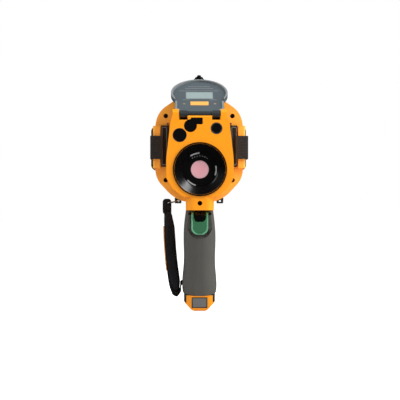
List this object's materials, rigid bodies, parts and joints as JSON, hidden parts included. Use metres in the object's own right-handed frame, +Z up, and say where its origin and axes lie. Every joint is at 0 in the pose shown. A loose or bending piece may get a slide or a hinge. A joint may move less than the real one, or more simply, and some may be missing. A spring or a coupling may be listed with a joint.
{
  "type": "thermal imaging camera",
  "caption": "Pistol-grip thermal imaging camera with a hinged lens cover, focusing lens, trigger pair, rear screen, slide-out battery base and padded hand strap.",
  "frame": {"origin": "middle of the battery base's flat underside, where the camera stands", "axes": "-Y is forward along the lens axis, +Z is up, +X is to the right when looking along +Y"},
  "size_m": [0.122, 0.1625, 0.2897],
  "materials": {
    "orange_shell": "fine moulded texture",
    "dark_plastic": "fine moulded texture",
    "cover_grey": "smooth moulded",
    "grip_rubber": "soft-touch rubber",
    "door_rubber": "soft rubber",
    "trigger_green": "textured face, polished rim",
    "trigger_black": "smooth",
    "panel_grey": "smooth",
    "lens_black": "glossy",
    "lens_metal": "black anodised",
    "coated_glass": "pink infrared coating",
    "window_glass": "dark glossy window",
    "screen_glass": "glossy",
    "steel": "bright",
    "black_steel": "black zinc",
    "frame_alloy": "cast",
    "board_green": "solder mask",
    "module_black": "smooth",
    "cell_blue": "shrink sleeve",
    "seal_rubber": "soft",
    "strap_black": "woven",
    "strap_orange": "woven",
    "key_grey": "silicone"
  },
  "bodies": {
    "root": {"front_housing": "orange_shell", "rear_shell": "orange_shell", "rear_cover": "dark_plastic", "sensor_windows": "window_glass", "visible_camera": "module_black", "lamp_module": "module_black", "laser_module": "module_black", "optics_bracket": "frame_alloy", "lens_bezel": "lens_black", "lens_barrel": "lens_metal", "focus_motor": "steel", "shutter_unit": "module_black", "detector": "module_black", "detector_board": "board_green", "shell_screws": "black_steel", "chassis_frame": "frame_alloy", "main_board": "board_green", "port_board": "board_green", "port_sockets": "steel", "card_reader": "steel", "speaker": "module_black", "housing_gasket": "seal_rubber", "touch_glass": "screen_glass", "display_panel": "module_black", "key_board": "board_green", "hinge_pin": "steel", "grip_sleeve": "grip_rubber", "battery_well": "dark_plastic", "battery_contacts": "module_black", "trigger_pin": "steel", "trigger_springs": "steel", "trigger_switches": "board_green", "door_pins": "steel", "strap_lugs": "dark_plastic", "strap_pad": "strap_black", "strap_webbing": "strap_black", "strap_patch": "strap_orange", "strap_link": "steel"},
    "cover": {"lens_cover": "cover_grey", "cover_catch": "trigger_black"},
    "lower_trigger": {"primary_trigger": "trigger_green"},
    "upper_trigger": {"secondary_trigger": "trigger_black"},
    "battery": {"battery_base": "orange_shell", "battery_case": "dark_plastic", "battery_cells": "cell_blue", "latch_spring": "steel"},
    "latch_l": {"latch_left": "dark_plastic"},
    "latch_r": {"latch_right": "dark_plastic"},
    "charge_panel": {"charge_button": "panel_grey"},
    "door_l": {"side_door_left": "door_rubber"},
    "door_r": {"side_door_right": "door_rubber"},
    "key_nav": {"nav_key": "key_grey"},
    "key_back": {"back_key": "key_grey"},
    "key_gallery": {"gallery_key": "key_grey"},
    "key_power": {"power_key": "key_grey"},
    "focus_cell": {"lens_cell": "lens_metal", "front_lens": "coated_glass", "rear_lens": "coated_glass", "lens_rings": "lens_metal"},
    "lead_screw": {"focus_screw": "steel"}
  },
  "joints": [
    {"name": "cover_hinge", "type": "hinge", "parent": "root", "child": "cover", "pos_m": [0, -0.062, 0.235], "axis": [1, 0, 0], "range_deg": [0, 237.5]},
    {"name": "lower_trigger_pull", "type": "hinge", "parent": "root", "child": "lower_trigger", "pos_m": [0, -0.04997, 0.11785], "axis": [1, 0, 0], "range_deg": [0, 8], "stiffness_Nm_per_rad": 0.3, "springref_deg": -2.86},
    {"name": "upper_trigger_pull", "type": "hinge", "parent": "root", "child": "upper_trigger", "pos_m": [0, -0.04997, 0.11785], "axis": [1, 0, 0], "range_deg": [0, 8], "stiffness_Nm_per_rad": 0.2, "springref_deg": -2.86},
    {"name": "battery_slide", "type": "slide", "parent": "root", "child": "battery", "axis": [0, 0.2723, -0.9622], "range_m": [0, 0.1]},
    {"name": "side_door_left_hinge", "type": "hinge", "parent": "root", "child": "door_l", "pos_m": [-0.0385, 0.013, 0.2], "axis": [0, 0, 1], "range_deg": [0, 70]},
    {"name": "side_door_right_hinge", "type": "hinge", "parent": "root", "child": "door_r", "pos_m": [0.0385, 0.013, 0.2], "axis": [0, 0, -1], "range_deg": [0, 70]},
    {"name": "latch_left_press", "type": "slide", "parent": "battery", "child": "latch_l", "axis": [1, 0, 0], "range_m": [0, 0.0015], "stiffness_N_per_m": 400},
    {"name": "latch_right_press", "type": "slide", "parent": "battery", "child": "latch_r", "axis": [-1, 0, 0], "range_m": [0, 0.0015], "stiffness_N_per_m": 400},
    {"name": "charge_button_press", "type": "slide", "parent": "battery", "child": "charge_panel", "axis": [0, 0.9622, 0.2723], "range_m": [0, 0.0008], "stiffness_N_per_m": 400},
    {"name": "nav_key_press", "type": "slide", "parent": "root", "child": "key_nav", "axis": [0, -1, 0], "range_m": [0, 0.001], "stiffness_N_per_m": 400},
    {"name": "back_key_press", "type": "slide", "parent": "root", "child": "key_back", "axis": [0, -1, 0], "range_m": [0, 0.001], "stiffness_N_per_m": 400},
    {"name": "gallery_key_press", "type": "slide", "parent": "root", "child": "key_gallery", "axis": [0, -1, 0], "range_m": [0, 0.001], "stiffness_N_per_m": 400},
    {"name": "power_key_press", "type": "slide", "parent": "root", "child": "key_power", "axis": [0, -1, 0], "range_m": [0, 0.001], "stiffness_N_per_m": 400},
    {"name": "focus_slide", "type": "slide", "parent": "root", "child": "focus_cell", "axis": [0, -1, 0], "range_m": [0, 0.002]},
    {"name": "focus_screw_spin", "type": "hinge", "parent": "root", "child": "lead_screw", "pos_m": [0.0285, -0.04, 0.17], "axis": [0, -1, 0], "range_deg": [0, 240]}
  ],
  "couplings": [
    {"joint": "focus_screw_spin", "follows": "focus_slide", "rad_per_m": 2094.4}
  ]
}
